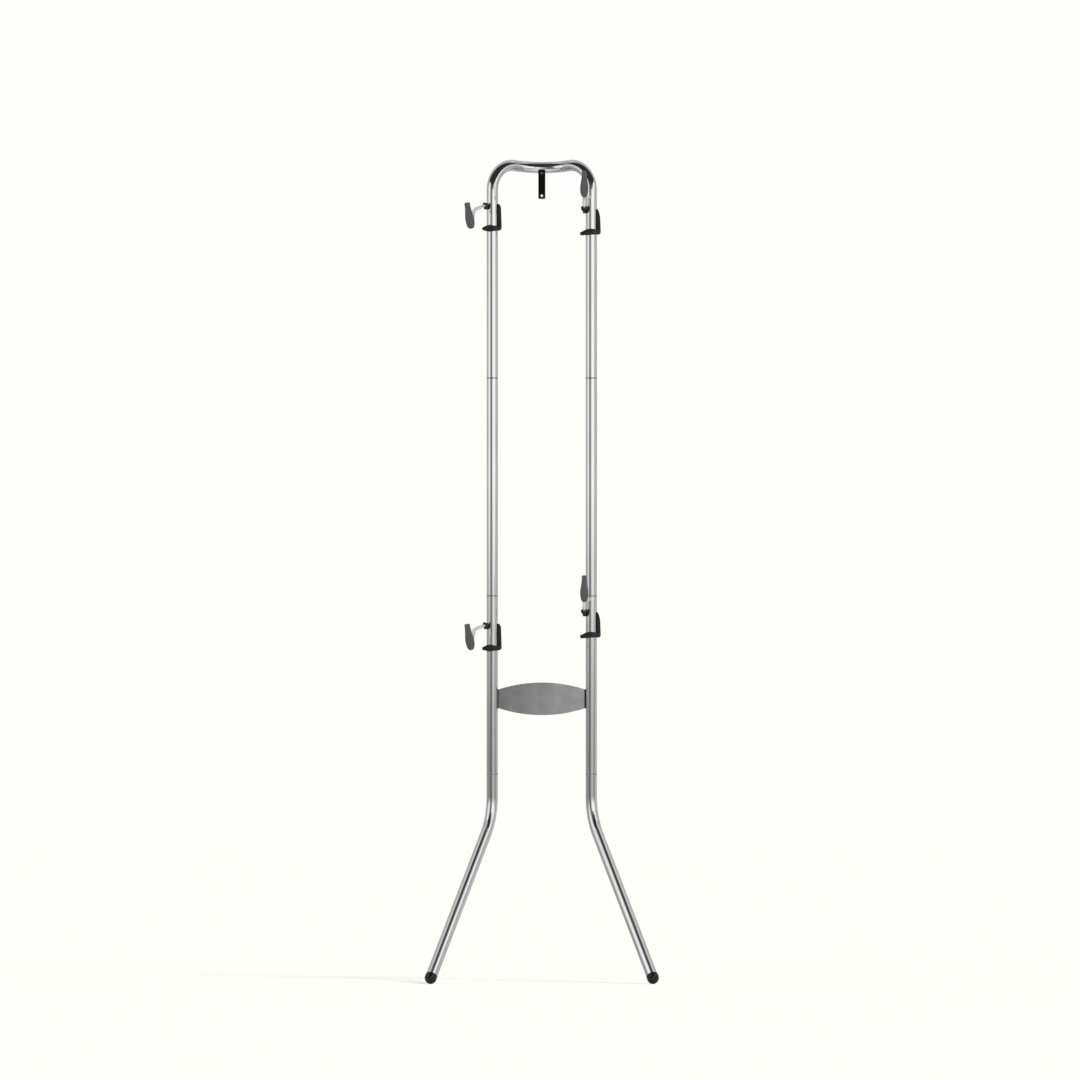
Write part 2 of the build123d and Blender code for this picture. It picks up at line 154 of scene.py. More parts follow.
class StandTubeSizes(bpy.types.PropertyGroup):
    """Sizes of the frame's bent and straight tubes."""

    diameter: bpy.props.FloatProperty(
        name="Tube diameter",
        description="Outside diameter of the frame's tubes",
        default=0.0286,
        unit="LENGTH",
    )
    arch_seam: bpy.props.FloatProperty(
        name="Arch seam height",
        description="Height of the seam between the arch and the upper tubes",
        default=1.5275,
        unit="LENGTH",
    )
    middle_seam: bpy.props.FloatProperty(
        name="Middle seam height",
        description="Height of the seam between the upper and lower tubes",
        default=0.976,
        unit="LENGTH",
    )
    leg_seam: bpy.props.FloatProperty(
        name="Leg seam height",
        description="Height of the seam between the lower tubes and the legs",
        default=0.5255,
        unit="LENGTH",
    )
    arch_corner: bpy.props.FloatProperty(
        name="Arch corner height",
        description="Height of the corners of the arch's centre line",
        default=2.0734,
        unit="LENGTH",
    )
    arch_bow: bpy.props.FloatProperty(
        name="Arch bow",
        description="How far the arch's middle stands back to the wall",
        default=0.075,
        unit="LENGTH",
    )
    arch_tilt: bpy.props.FloatProperty(
        name="Arch tilt",
        description="Tilt of the arch's bow down towards the wall",
        default=radians(9.3),
        subtype="ANGLE",
    )
    arch_shoulder_bend: bpy.props.FloatProperty(
        name="Arch shoulder bend",
        description="Bend radius of the arch's two shoulders",
        default=0.064,
        unit="LENGTH",
    )
    arch_middle_bend: bpy.props.FloatProperty(
        name="Arch middle bend",
        description="Bend radius of the arch's middle",
        default=0.1,
        unit="LENGTH",
    )
    leg_corner: bpy.props.FloatProperty(
        name="Leg corner height",
        description="Height of the corner of a leg's centre line",
        default=0.4164,
        unit="LENGTH",
    )
    leg_bend: bpy.props.FloatProperty(
        name="Leg bend", description="Bend radius of a leg", default=0.15, unit="LENGTH"
    )
    seam_groove: bpy.props.FloatProperty(
        name="Seam groove",
        description="Depth of the groove at each seam between two tubes",
        default=0.0009,
        unit="LENGTH",
    )


class StandArmSizes(bpy.types.PropertyGroup):
    """Sizes of an arm's rod and pad."""

    rod_diameter: bpy.props.FloatProperty(
        name="Rod diameter",
        description="Diameter of the bent steel rod",
        default=0.0085,
        unit="LENGTH",
    )
    rod_bend: bpy.props.FloatProperty(
        name="Rod bend", description="Bend radius of the rod", default=0.014, unit="LENGTH"
    )
    reach: bpy.props.FloatProperty(
        name="Arm reach",
        description="Distance from the upright's axis to the middle of the pad",
        default=0.24,
        unit="LENGTH",
    )
    pad_height: bpy.props.FloatProperty(
        name="Pad height", description="Height of the rubber pad", default=0.067, unit="LENGTH"
    )
    pad_width: bpy.props.FloatProperty(
        name="Pad width",
        description="Greatest width of the rubber pad",
        default=0.0208,
        unit="LENGTH",
    )
    pad_depth: bpy.props.FloatProperty(
        name="Pad depth",
        description="Greatest thickness of the rubber pad, front to back",
        default=0.02,
        unit="LENGTH",
    )


class StandFinishes(bpy.types.PropertyGroup):
    """Colours of the stand's finishes."""

    chrome: bpy.props.FloatVectorProperty(
        name="Chrome",
        description="Colour of the plated tubes",
        default=(0.86, 0.86, 0.86),
        subtype="COLOR",
    )
    rod: bpy.props.FloatVectorProperty(
        name="Rod steel",
        description="Colour of the zinc-plated rods",
        default=(0.82, 0.82, 0.81),
        subtype="COLOR",
    )
    bracket: bpy.props.FloatVectorProperty(
        name="Bracket plastic",
        description="Colour of the moulded brackets",
        default=(0.011, 0.011, 0.011),
        subtype="COLOR",
    )
    lining: bpy.props.FloatVectorProperty(
        name="Lining rubber",
        description="Colour of the linings between the brackets and the uprights",
        default=(0.03, 0.03, 0.03),
        subtype="COLOR",
    )
    pad: bpy.props.FloatVectorProperty(
        name="Pad rubber",
        description="Colour of the pads",
        default=(0.085, 0.085, 0.09),
        subtype="COLOR",
    )
    foot: bpy.props.FloatVectorProperty(
        name="Foot rubber",
        description="Colour of the foot caps",
        default=(0.004, 0.004, 0.004),
        subtype="COLOR",
    )
    plate: bpy.props.FloatVectorProperty(
        name="Cross plate",
        description="Colour of the cross plate",
        default=(0.25, 0.25, 0.255),
        subtype="COLOR",
    )
    strap: bpy.props.FloatVectorProperty(
        name="Wall strap",
        description="Colour of the wall strap's powder coat",
        default=(0.002, 0.002, 0.002),
        subtype="COLOR",
    )
    pale_strap_end: bpy.props.FloatVectorProperty(
        name="Pale strap end",
        description="Colour of the wall strap's lower end, where its coat is rubbed",
        default=(0.3, 0.3, 0.3),
        subtype="COLOR",
    )
    screw: bpy.props.FloatVectorProperty(
        name="Screw zinc",
        description="Colour of the screws",
        default=(0.2, 0.2, 0.205),
        subtype="COLOR",
    )
    seam: bpy.props.FloatVectorProperty(
        name="Seam shadow",
        description="Colour of the tubes' lips, which lie in the shadow of the seams",
        default=(0.012, 0.012, 0.012),
        subtype="COLOR",
    )


class StandStageSizes(bpy.types.PropertyGroup):
    """Sizes of the floor, the studio, the lamps and the camera."""

    floor_size: bpy.props.FloatProperty(
        name="Floor size", description="Side of the square floor", default=60.0, unit="LENGTH"
    )
    camera_distance: bpy.props.FloatProperty(
        name="Camera distance",
        description="Distance from the uprights to the camera",
        default=60.0,
        unit="LENGTH",
    )
    camera_height: bpy.props.FloatProperty(
        name="Camera height",
        description="Height of the camera above the floor",
        default=1.1177,
        unit="LENGTH",
    )
    camera_side: bpy.props.FloatProperty(
        name="Camera side",
        description="How far to the right of the stand's middle the camera stands",
        default=-0.00455,
        unit="LENGTH",
    )
    view_width: bpy.props.FloatProperty(
        name="View width",
        description="Width that the camera sees at the uprights",
        default=2.7324,
        unit="LENGTH",
    )
    key_strength: bpy.props.FloatProperty(
        name="Key lamp strength",
        description="Strength of the soft lamp at the front right",
        default=1.5,
    )
    key_spread: bpy.props.FloatProperty(
        name="Key lamp spread",
        description="How wide the key lamp looks, which softens its shadows",
        default=radians(14),
        subtype="ANGLE",
    )
    studio_radius: bpy.props.FloatProperty(
        name="Studio radius",
        description="Distance to the studio wall that the plating mirrors",
        default=3.0,
        unit="LENGTH",
    )
    studio_height: bpy.props.FloatProperty(
        name="Studio height",
        description="Height of the studio wall that the plating mirrors",
        default=3.6,
        unit="LENGTH",
    )
    canopy_width: bpy.props.FloatProperty(
        name="Canopy width",
        description="Width of the dark canopy that the arch mirrors",
        default=1.5,
        unit="LENGTH",
    )
    canopy_depth: bpy.props.FloatProperty(
        name="Canopy depth",
        description="Depth of the dark canopy, front to back",
        default=0.825,
        unit="LENGTH",
    )
    canopy_height: bpy.props.FloatProperty(
        name="Canopy height",
        description="Height of the dark canopy above the floor",
        default=2.35,
        unit="LENGTH",
    )


# Node materials
def feed(tree, socket, value):
    """Link an input to another socket, or set it to a value."""
    if isinstance(value, bpy.types.NodeSocket):
        tree.links.new(value, socket)
    else:
        socket.default_value = value


def add_node(tree, kind, inputs, **settings):
    """A new node with its settings, and its inputs fed by name."""
    node = tree.nodes.new(kind)
    for name, value in settings.items():
        setattr(node, name, value)
    for name, value in inputs.items():
        feed(tree, node.inputs[name], value)
    return node


def grey(level):
    """A grey as a node's colour."""
    return (level, level, level, 1.0)


def mix_colours(tree, factor, first, second, blend="MIX"):
    """Mix two colours, each a value or a socket, by a factor."""
    node = add_node(
        tree, "ShaderNodeMix", {"Factor": factor}, data_type="RGBA", blend_type=blend
    )
    inputs = [socket for socket in node.inputs if socket.type == "RGBA"]
    feed(tree, inputs[0], first)
    feed(tree, inputs[1], second)
    return next(socket for socket in node.outputs if socket.type == "RGBA")


def colour_ramp(tree, source, stops):
    """A ramp of greys over a socket that runs from 0 to 1."""
    node = add_node(tree, "ShaderNodeValToRGB", {"Fac": source})
    ramp = node.color_ramp
    while len(ramp.elements) < len(stops):
        ramp.elements.new(0.5)
    for element, (position, level) in zip(ramp.elements, stops):
        element.position = position
        element.color = grey(level)
    return node.outputs["Color"]


def math_node(tree, operation, *values):
    """A math node on sockets or numbers."""
    node = add_node(tree, "ShaderNodeMath", {}, operation=operation)
    for socket, value in zip(node.inputs, values):
        feed(tree, socket, value)
    return node.outputs[0]


def map_range(tree, value, low, high, to_low=0.0, to_high=1.0, kind="LINEAR"):
    """A socket's value, mapped from one range to another and kept inside it."""
    source = {"Value": value, "From Min": low, "From Max": high}
    target = {"To Min": to_low, "To Max": to_high}
    node = add_node(tree, "ShaderNodeMapRange", source | target, interpolation_type=kind)
    return node.outputs["Result"]


def split_place(tree, kind, output):
    """The X, Y and Z of a point, from an output of a node that knows it."""
    place = add_node(tree, kind, {})
    return add_node(tree, "ShaderNodeSeparateXYZ", {"Vector": place.outputs[output]}).outputs


def noise_map(
    tree, scale, low, high, stretch=(1.0, 1.0, 1.0), coordinates="Object", detail=4.0
):
    """Noise on the piece's own coordinates, mapped to a range."""
    place = add_node(tree, "ShaderNodeTexCoord", {}).outputs[coordinates]
    mapping = add_node(tree, "ShaderNodeMapping", {"Vector": place, "Scale": stretch})
    inputs = {"Vector": mapping.outputs["Vector"], "Scale": scale, "Detail": detail}
    noise = add_node(tree, "ShaderNodeTexNoise", inputs)
    return map_range(tree, noise.outputs["Fac"], 0.3, 0.7, low, high)


def finish(name, colour, roughness, shade, metallic=0.0, spread=0.05, scale=45.0):
    """A material whose colour and roughness vary softly over the piece."""
    material = bpy.data.materials.new(name)
    material.use_nodes = True
    tree = material.node_tree
    shader = tree.nodes["Principled BSDF"]
    shader.inputs["Metallic"].default_value = metallic
    dark = (*(channel * shade for channel in colour), 1.0)
    tone = mix_colours(tree, noise_map(tree, scale, 0.0, 1.0), dark, (*colour, 1.0))
    tree.links.new(tone, shader.inputs["Base Color"])
    rough = noise_map(tree, scale * 2.5, roughness - spread, roughness + spread)
    tree.links.new(rough, shader.inputs["Roughness"])
    return material, tree, shader


def add_bump(tree, shader, height, depth, strength):
    """Bump from a height socket, on top of the shader."""
    inputs = {"Height": height, "Strength": strength, "Distance": depth}
    bump = add_node(tree, "ShaderNodeBump", inputs)
    tree.links.new(bump.outputs["Normal"], shader.inputs["Normal"])


def colour_over(tree, shader, factor, colour, blend="MIX"):
    """Mix a colour over the shader's own by a factor."""
    base = shader.inputs["Base Color"].links[0].from_socket
    mixed = mix_colours(tree, factor, base, colour, blend)
    tree.links.new(mixed, shader.inputs["Base Color"])


def share_along(tree, axis, low, high):
    """How far a point of the piece lies between two places along an axis, from 0 to 1."""
    return map_range(tree, split_place(tree, "ShaderNodeTexCoord", "Object")[axis], low, high)


def chrome_finish(colour):
    """Bright plating over drawn tube, with faint lines along it and a soft haze."""
    material, tree, shader = finish(
        "Tube chrome", colour, 0.075, shade=0.94, metallic=1.0, spread=0.025, scale=9.0
    )
    lines = noise_map(tree, 1.0, 0.0, 1.0, (900.0, 900.0, 3.0), "UV", 3.0)
    add_bump(tree, shader, lines, 0.00001, 0.12)
    return material


def rod_finish(colour):
    """Zinc-plated rod with a dull shine."""
    material, tree, shader = finish(
        "Rod steel", colour, 0.35, shade=0.92, metallic=0.55, scale=60.0
    )
    add_bump(tree, shader, noise_map(tree, 900.0, 0.0, 1.0), 0.00003, 0.3)
    return material


def moulded_finish(name, colour, roughness, grain, depth, gloss=0.5):
    """Moulded plastic or rubber with a fine grain, paler along its sharp edges."""
    material, tree, shader = finish(name, colour, roughness, shade=0.86)
    shader.inputs["Specular IOR Level"].default_value = gloss
    # Paler along sharp convex edges, by the mesh's pointiness.
    pointiness = add_node(tree, "ShaderNodeNewGeometry", {}).outputs["Pointiness"]
    rim = map_range(tree, pointiness, 0.52, 0.62, to_high=0.35)
    pale = (*(channel * 1.9 + 0.01 for channel in colour), 1.0)
    colour_over(tree, shader, rim, pale)
    add_bump(tree, shader, noise_map(tree, grain, 0.0, 1.0), depth, 0.5)
    return material


def plate_finish(colour, edge):
    """Satin grey plastic with a faint mottle. Painted shade darkens it towards its left end, a
    painted highlight brightens it just before its right end, and painted shadow darkens both ends,
    in the uprights' shade.
    """
    material, tree, shader = finish("Cross plate satin", colour, 0.42, shade=0.8, spread=0.04)
    across = share_along(tree, "X", -edge, edge)
    # Painted shade and light across the plate: darker towards the left end, a painted highlight
    # before the right end, then a thin painted shadow strip at the right end.
    left = [(0.0, 0.5), (0.02, 0.66), (0.08, 0.76), (0.5, 0.97)]
    right = [(0.98, 1.14), (0.989, 0.06), (1.0, 0.06)]
    colour_over(tree, shader, 1.0, colour_ramp(tree, across, left + right), "MULTIPLY")
    add_bump(tree, shader, noise_map(tree, 700.0, 0.0, 1.0), 0.00005, 0.4)
    return material


def paint_finish(colour, pale_end_colour):
    """Black powder coat with a slight orange peel, paler along its lower end."""
    material, tree, shader = finish(
        "Strap powder coat", colour, 0.3, shade=0.8, spread=0.04, scale=80.0
    )
    shader.inputs["Specular IOR Level"].default_value = 0.12
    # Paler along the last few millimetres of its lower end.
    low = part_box("wall_strap")[0].z
    lightened = share_along(tree, "Z", low + 0.0026, low + 0.0012)
    colour_over(tree, shader, lightened, (*pale_end_colour, 1.0))
    add_bump(tree, shader, noise_map(tree, 450.0, 0.0, 1.0), 0.00006, 0.35)
    return material


def make_finishes(colours, plate_edge):
    """The materials of all the record's slots, by slot name."""
    return {
        "tube_chrome": chrome_finish(colours.chrome),
        "rod_steel": rod_finish(colours.rod),
        "bracket_black": moulded_finish(
            "Bracket plastic", colours.bracket, 0.38, 1100.0, 0.00004, gloss=0.4
        ),
        "lining_rubber": moulded_finish("Lining rubber", colours.lining, 0.7, 900.0, 0.00005),
        "pad_rubber": moulded_finish("Pad rubber", colours.pad, 0.66, 800.0, 0.00006),
        "foot_rubber": moulded_finish("Foot rubber", colours.foot, 0.14, 700.0, 0.00002),
        "plate_grey": plate_finish(colours.plate, plate_edge),
        "strap_black": paint_finish(colours.strap, colours.pale_strap_end),
        "screw_black": finish(
            "Screw zinc", colours.screw, 0.3, shade=0.7, metallic=0.9, spread=0.06, scale=300.0
        )[0],
        "seam": finish("Seam shadow", colours.seam, 0.7, shade=0.6, scale=200.0)[0],
    }


def stand_finish(slot):
    """A slot's material. All of them are made on first use."""
    scene = bpy.context.scene
    if "stand_finishes_made" not in scene:
        plate_edge = upright_x - scene.stand_tubes.diameter / 2
        for key, material in make_finishes(scene.stand_finishes, plate_edge).items():
            material["stand_slot"] = key
            material.use_fake_user = True
        scene["stand_finishes_made"] = True
    return next(item for item in bpy.data.materials if item.get("stand_slot") == slot)


# Meshes
def add_object(bm, name):
    """A new object in the scene, with a bmesh's shape."""
    mesh = bpy.data.meshes.new(name)
    bm.to_mesh(mesh)
    item = bpy.data.objects.new(name, mesh)
    bpy.context.scene.collection.objects.link(item)
    return item


def remove_object(item):
    """Take an object and its mesh out of the file."""
    mesh = item.data
    bpy.data.objects.remove(item)
    bpy.data.meshes.remove(mesh)


def take_back(bm, item):
    """Give a bmesh the shape that an object has with its modifiers."""
    bpy.context.view_layer.update()
    shaped = item.evaluated_get(bpy.context.evaluated_depsgraph_get()).to_mesh()
    bm.clear()
    bm.from_mesh(shaped)


def finish_piece(bm, name, body, slot, node, crease=radians(38), others=()):
    """Turn a bmesh into a piece that rides on a body and stands for a node."""
    for face in bm.faces:
        face.smooth = True
    for edge in bm.edges:
        edge.smooth = edge.calc_face_angle(0.0) < crease
    piece = add_object(bm, name)
    bm.free()
    for key in (slot, *others):
        piece.data.materials.append(stand_finish(key))
    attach(piece, body)
    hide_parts(node)
    return piece


def close_loops(bm):
    """Fill every open loop of the mesh and turn all its faces outwards."""
    open_edges = [edge for edge in bm.edges if edge.is_boundary]
    if open_edges:
        bmesh.ops.holes_fill(bm, edges=open_edges, sides=0)
    bmesh.ops.recalc_face_normals(bm, faces=bm.faces)


def extrude_ring(bm, ring, transform):
    """Extrude a ring of edges, move the new ring by a transform and return it."""
    made = bmesh.ops.extrude_edge_only(bm, edges=ring)["geom"]
    verts = [item for item in made if isinstance(item, bmesh.types.BMVert)]
    bmesh.ops.transform(bm, matrix=transform, verts=verts)
    moved = set(verts)
    return [
        item
        for item in made
        if isinstance(item, bmesh.types.BMEdge) and moved.issuperset(item.verts)
    ]


def about(point, turn):
    """A transform that works about a point instead of the origin."""
    return Matrix.Translation(point) @ turn @ Matrix.Translation(-point)


def arc_start(before, corner, after, bend_radius):
    """Where a fillet of a corner starts, its centre, its axis and its angle."""
    toward = (corner - before).normalized()
    away = (after - corner).normalized()
    angle = toward.angle(away)
    start = corner - toward * bend_radius * tan(angle / 2)
    axis = toward.cross(away).normalized()
    return start, start + axis.cross(toward) * bend_radius, axis, angle


def sweep_tube(bm, corners, bends, radius, lip, segments=48, arc_step=radians(3), lip_finish=0):
    """A round bar through filleted corners, with a small rounded lip at both ends."""
    around = bm.verts.layers.float.new("around")
    along = bm.verts.layers.float.new("along")
    corners = [Vector(corner) for corner in corners]
    toward = (corners[1] - corners[0]).normalized()
    facing = toward.to_track_quat("Z", "X").to_matrix().to_4x4()
    start = Matrix.Translation(corners[0]) @ facing
    bmesh.ops.create_circle(bm, segments=segments, radius=radius - lip, matrix=start)
    for number, vert in enumerate(bm.verts):
        vert[around] = number / segments
    ring = list(bm.edges)
    travelled = 0.0

    def advance(transform, length, finish_number=0):
        nonlocal ring, travelled
        ring = extrude_ring(bm, ring, transform)
        travelled += length
        for edge in ring:
            edge.link_faces[0].material_index = finish_number
            for vert in edge.verts:
                vert[along] = travelled

    def swell(point, factor, shift):
        scaled = about(point, Matrix.Diagonal((factor, factor, factor, 1.0)))
        advance(Matrix.Translation(shift) @ scaled, shift.length, lip_finish)

    facet = lip * lip_facet
    rest = lip - facet
    point = corners[0]
    swell(point, (radius - facet) / (radius - lip), toward * facet)
    swell(point + toward * facet, radius / (radius - facet), toward * rest)
    advance(Matrix.Translation(toward * lip), lip)
    point = point + toward * lip * 2
    for number, bend_radius in enumerate(bends):
        before, corner, after = corners[number : number + 3]
        begin, centre, axis, angle = arc_start(before, corner, after, bend_radius)
        advance(Matrix.Translation(begin - point), (begin - point).length)
        steps = max(2, round(angle / arc_step))
        turn = about(centre, Matrix.Rotation(angle / steps, 4, axis))
        for _ in range(steps):
            advance(turn, bend_radius * angle / steps)
        toward = (after - corner).normalized()
        point = corner + toward * bend_radius * tan(angle / 2)
    end = corners[-1] - toward * lip
    last_run = end - toward * lip - point
    advance(Matrix.Translation(last_run), last_run.length)
    advance(Matrix.Translation(toward * lip), lip)
    swell(end, (radius - facet) / radius, toward * rest)
    swell(end + toward * rest, (radius - lip) / (radius - facet), toward * facet)
    close_loops(bm)
    lay_out_tube(bm, around, along, radius)


def lay_out_tube(bm, around, along, radius):
    """A UV map in metres: round the tube, and along it."""
    uv = bm.loops.layers.uv.new("Tube")
    for face in bm.faces:
        turns = [loop.vert[around] for loop in face.loops]
        wraps = max(turns) - min(turns) > 0.5
        for loop, turn in zip(face.loops, turns):
            shown = turn + 1.0 if wraps and turn < 0.5 else turn
            loop[uv].uv = (shown * 2 * pi * radius, loop.vert[along])


def spin_profile(bm, points, place):
    """Spin a profile of (radius, height) points about the Z axis of a place."""
    verts = [bm.verts.new((x, 0.0, z)) for x, z in points]
    edges = [bm.edges.new(pair) for pair in zip(verts, verts[1:])]
    bmesh.ops.spin(
        bm,
        geom=verts + edges,
        cent=(0, 0, 0),
        axis=(0, 0, 1),
        angle=2 * pi,
        steps=48,
        use_merge=True,
        use_duplicate=False,
    )
    bmesh.ops.remove_doubles(bm, verts=bm.verts, dist=1e-7)
    bmesh.ops.recalc_face_normals(bm, faces=bm.faces)
    bmesh.ops.transform(bm, matrix=place, verts=bm.verts)


def carve(bm, cutter):
    """Cut one closed bmesh out of another."""
    base = add_object(bm, "carve base")
    tool = add_object(cutter, "carve tool")
    cutter.free()
    cut = base.modifiers.new("Cut", "BOOLEAN")
    cut.object = tool
    cut.operation = "DIFFERENCE"
    cut.solver = "EXACT"
    take_back(bm, base)
    remove_object(base)
    remove_object(tool)


def soften(bm, voxel, rounds):
    """Fuse a bmesh's shells into one moulded skin with soft edges."""
    item = add_object(bm, "soften")
    remesh = item.modifiers.new("Fuse", "REMESH")
    remesh.mode = "VOXEL"
    remesh.voxel_size = voxel
    smooth = item.modifiers.new("Soften", "SMOOTH")
    smooth.iterations = rounds
    smooth.factor = 0.5
    take_back(bm, item)
    remove_object(item)


def clear_bore(bm, centre, radius):
    """Push what stands inside an upright bore out to its wall."""
    for vert in bm.verts:
        reach = hypot(vert.co.x - centre.x, vert.co.y - centre.y)
        if reach < radius:
            vert.co.x = centre.x + (vert.co.x - centre.x) * radius / reach
            vert.co.y = centre.y + (vert.co.y - centre.y) * radius / reach


def prism(outline, near, far):
    """A closed bar from one depth to another, with an outline of (x, z) points."""
    bm = bmesh.new()
    verts = [bm.verts.new((x, near, z)) for x, z in outline]
    ring = [bm.edges.new(pair) for pair in zip(verts, verts[1:] + verts[:1])]
    extrude_ring(bm, ring, Matrix.Translation((0, far - near, 0)))
    close_loops(bm)
    return bm


# Routes of the tubes and rods
def arch_corners(sizes):
    """The arch's corners: up one upright, back to the wall and down the other."""
    bend = sizes.arch_middle_bend
    bow = sizes.arch_bow / cos(sizes.arch_tilt) - bend
    run = atan2(bow, upright_x) + asin(bend / hypot(upright_x, bow))
    back = upright_x * tan(run)
    middle_y = upright_y + back * cos(sizes.arch_tilt)
    middle_z = sizes.arch_corner - back * sin(sizes.arch_tilt)
    return [
        (upright_x, upright_y, sizes.arch_seam),
        (upright_x, upright_y, sizes.arch_corner),
        (0, middle_y, middle_z),
        (-upright_x, upright_y, sizes.arch_corner),
        (-upright_x, upright_y, sizes.arch_seam),
    ]


def leg_corners(sizes, side):
    """A leg's corners from its seam down to its foot."""
    low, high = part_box("foot_cap_right")
    cap_radius = sizes.diameter / 2 + cap_wall
    return [
        (side * upright_x, upright_y, sizes.leg_seam),
        (side * upright_x, upright_y, sizes.leg_corner),
        (side * (high.x - cap_radius), low.y + cap_radius, cap_radius),
    ]


def arm_place(arm):
    """Where an arm's own axes stand."""
    low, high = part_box(f"{arm}_grip_ring")
    middle = (low + high) / 2
    return Matrix.Translation((middle.x, middle.y, middle.z + band_drop))


def rod_corners(sizes, arm):
    """A rod's corners from its socket to the top of its upturned end."""
    tip = sizes.pad_height - pad_drop - pad_cover
    if arm.endswith("right"):
        x, y, z = right_socket
        top = z + right_rise
        ahead = -sizes.reach
        route = [(x, y, z - rod_seat), (x, y, top), (x, ahead, top), (x, ahead, top + tip)]
        return [Vector(corner) for corner in route]
    cradle = Vector((left_cradle_x, -sizes.reach, left_cradle_z))
    return [
        left_socket - (left_knee - left_socket).normalized() * rod_seat,
        left_knee,
        cradle,
        cradle + Vector((-sin(left_lean), 0, cos(left_lean))) * tip,
    ]


class STAND_OT_tubes(bpy.types.Operator):
    """Make the plated arch, straight tubes and legs"""

    bl_idname = "stand.tubes"
    bl_label = "Frame tubes"

    def execute(self, context):
        sizes = context.scene.stand_tubes
        bends = (sizes.arch_shoulder_bend, sizes.arch_middle_bend, sizes.arch_shoulder_bend)
        make_tube(sizes, "arch_tube", "top_arch", arch_corners(sizes), bends)
        for side, word in ((-1, "left"), (1, "right")):
            for name, low, high in (
                ("upper", sizes.middle_seam, sizes.arch_seam),
                ("lower", sizes.leg_seam, sizes.middle_seam),
            ):
                ends = [(side * upright_x, upright_y, height) for height in (low, high)]
                make_tube(sizes, f"{name}_{word}_tube", f"{name}_tube_{word}", ends)
            leg = leg_corners(sizes, side)
            make_tube(sizes, f"{word}_leg_tube", f"leg_{word}", leg, (sizes.leg_bend,))
        return {"FINISHED"}


def make_tube(sizes, name, node, corners, bends=()):
    """A plated tube of the frame, whose lips lie in the seams' shadow."""
    bm = bmesh.new()
    sweep_tube(bm, corners, bends, sizes.diameter / 2, sizes.seam_groove, lip_finish=1)
    finish_piece(bm, name, "frame", "tube_chrome", node, others=["seam"])


class STAND_OT_foot_caps(bpy.types.Operator):
    """Make the rubber caps on the ends of the legs"""

    bl_idname = "stand.foot_caps"
    bl_label = "Foot caps"

    def execute(self, context):
        sizes = context.scene.stand_tubes
        for side, word in ((-1, "left"), (1, "right")):
            corner, foot = (Vector(point) for point in leg_corners(sizes, side)[1:])
            turn = (corner - foot).normalized().to_track_quat("Z", "X").to_matrix().to_4x4()
            bm = bmesh.new()
            spin_profile(bm, cap_profile(sizes.diameter / 2), Matrix.Translation(foot) @ turn)
            finish_piece(bm, f"{word}_foot", "frame", "foot_rubber", f"foot_cap_{word}")
        return {"FINISHED"}


def cap_profile(tube_radius, steps=20):
    """A foot cap's (radius, height) points: its round end, its grooved collar and its bore."""
    outer = tube_radius + cap_wall
    inner = tube_radius + cap_fit
    turns = [pi / 2 * step / steps for step in range(steps + 1)]
    return [(outer * sin(turn), -outer * cos(turn)) for turn in turns] + [
        (outer, groove_height - groove_mouth / 2),
        (outer - groove_depth, groove_height - groove_floor / 2),
        (outer - groove_depth, groove_height + groove_floor / 2),
        (outer, groove_height + groove_mouth / 2),
        (outer, cap_collar - cap_edge),
        (outer - cap_edge / 3, cap_collar - cap_edge / 6),
        (outer - cap_edge, cap_collar),
        (inner, cap_collar),
        (inner, 0.0),
        (0.0, 0.0),
    ]


class STAND_OT_cross_plate(bpy.types.Operator):
    """Finish the cross plate and its screws"""

    bl_idname = "stand.cross_plate"
    bl_label = "Cross plate"

    def execute(self, context):
        dress_nodes("plate_grey", "cross_plate")
        dress_nodes("screw_black", "plate_screws")
        return {"FINISHED"}


class STAND_OT_wall_strap(bpy.types.Operator):
    """Finish the wall strap and its screw"""

    bl_idname = "stand.wall_strap"
    bl_label = "Wall strap"

    def execute(self, context):
        dress_nodes("strap_black", "wall_strap")
        dress_nodes("screw_black", "strap_screw")
        return {"FINISHED"}


def dress_nodes(slot, *nodes):
    """Give carried-over nodes their finish."""
    for node in nodes:
        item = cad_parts[node]
        item.data.materials.clear()
        item.data.materials.append(stand_finish(slot))


class STAND_OT_linings(bpy.types.Operator):
    """Finish the rubber linings between the brackets and the uprights"""

    bl_idname = "stand.linings"
    bl_label = "Grip linings"

    def execute(self, context):
        for arm in arms:
            dress_nodes("lining_rubber", f"{arm}_grip_ring", f"{arm}_grip_shoe")
        return {"FINISHED"}


def socket_outline(sizes, arm, start, end, start_half, end_half):
    """A four-cornered outline along a rod socket, with its half widths at its start and end."""
    socket, knee = rod_corners(sizes, arm)[:2]
    along = Vector((knee.x - socket.x, 0, knee.z - socket.z)).normalized()
    across = Vector((along.z, 0, -along.x))
    shifts = ((start, -start_half), (start, start_half), (end, end_half), (end, -end_half))
    points = [socket + along * forward + across * sideways for forward, sideways in shifts]
    return [(point.x, point.z) for point in points]


def bracket_cuts(sizes, arm):
    """What is cut from an arm's bracket: outlines of (x, z) points, and from where to where."""
    socket = rod_corners(sizes, arm)[0]
    if arm.endswith("right"):
        notch = socket_outline(sizes, arm, 0.005, 0.0127, 0.0008, 0.0046)
        return [
            (notch, bracket_front, socket.y),
            (fin_cut, bracket_front, bracket_back),
            (right_web_cut, web_front, web_back),
        ]
    notch = socket_outline(sizes, arm, 0.001, 0.012, 0.0028, 0.0044)
    rim = socket_outline(sizes, arm, 0.0063, 0.0183, 0.012, 0.012)
    return [
        (notch, bracket_front, socket.y - left_notch_floor),
        (rim, bracket_front, left_rim_back),
        (left_web_cut, web_front, web_back),
    ]


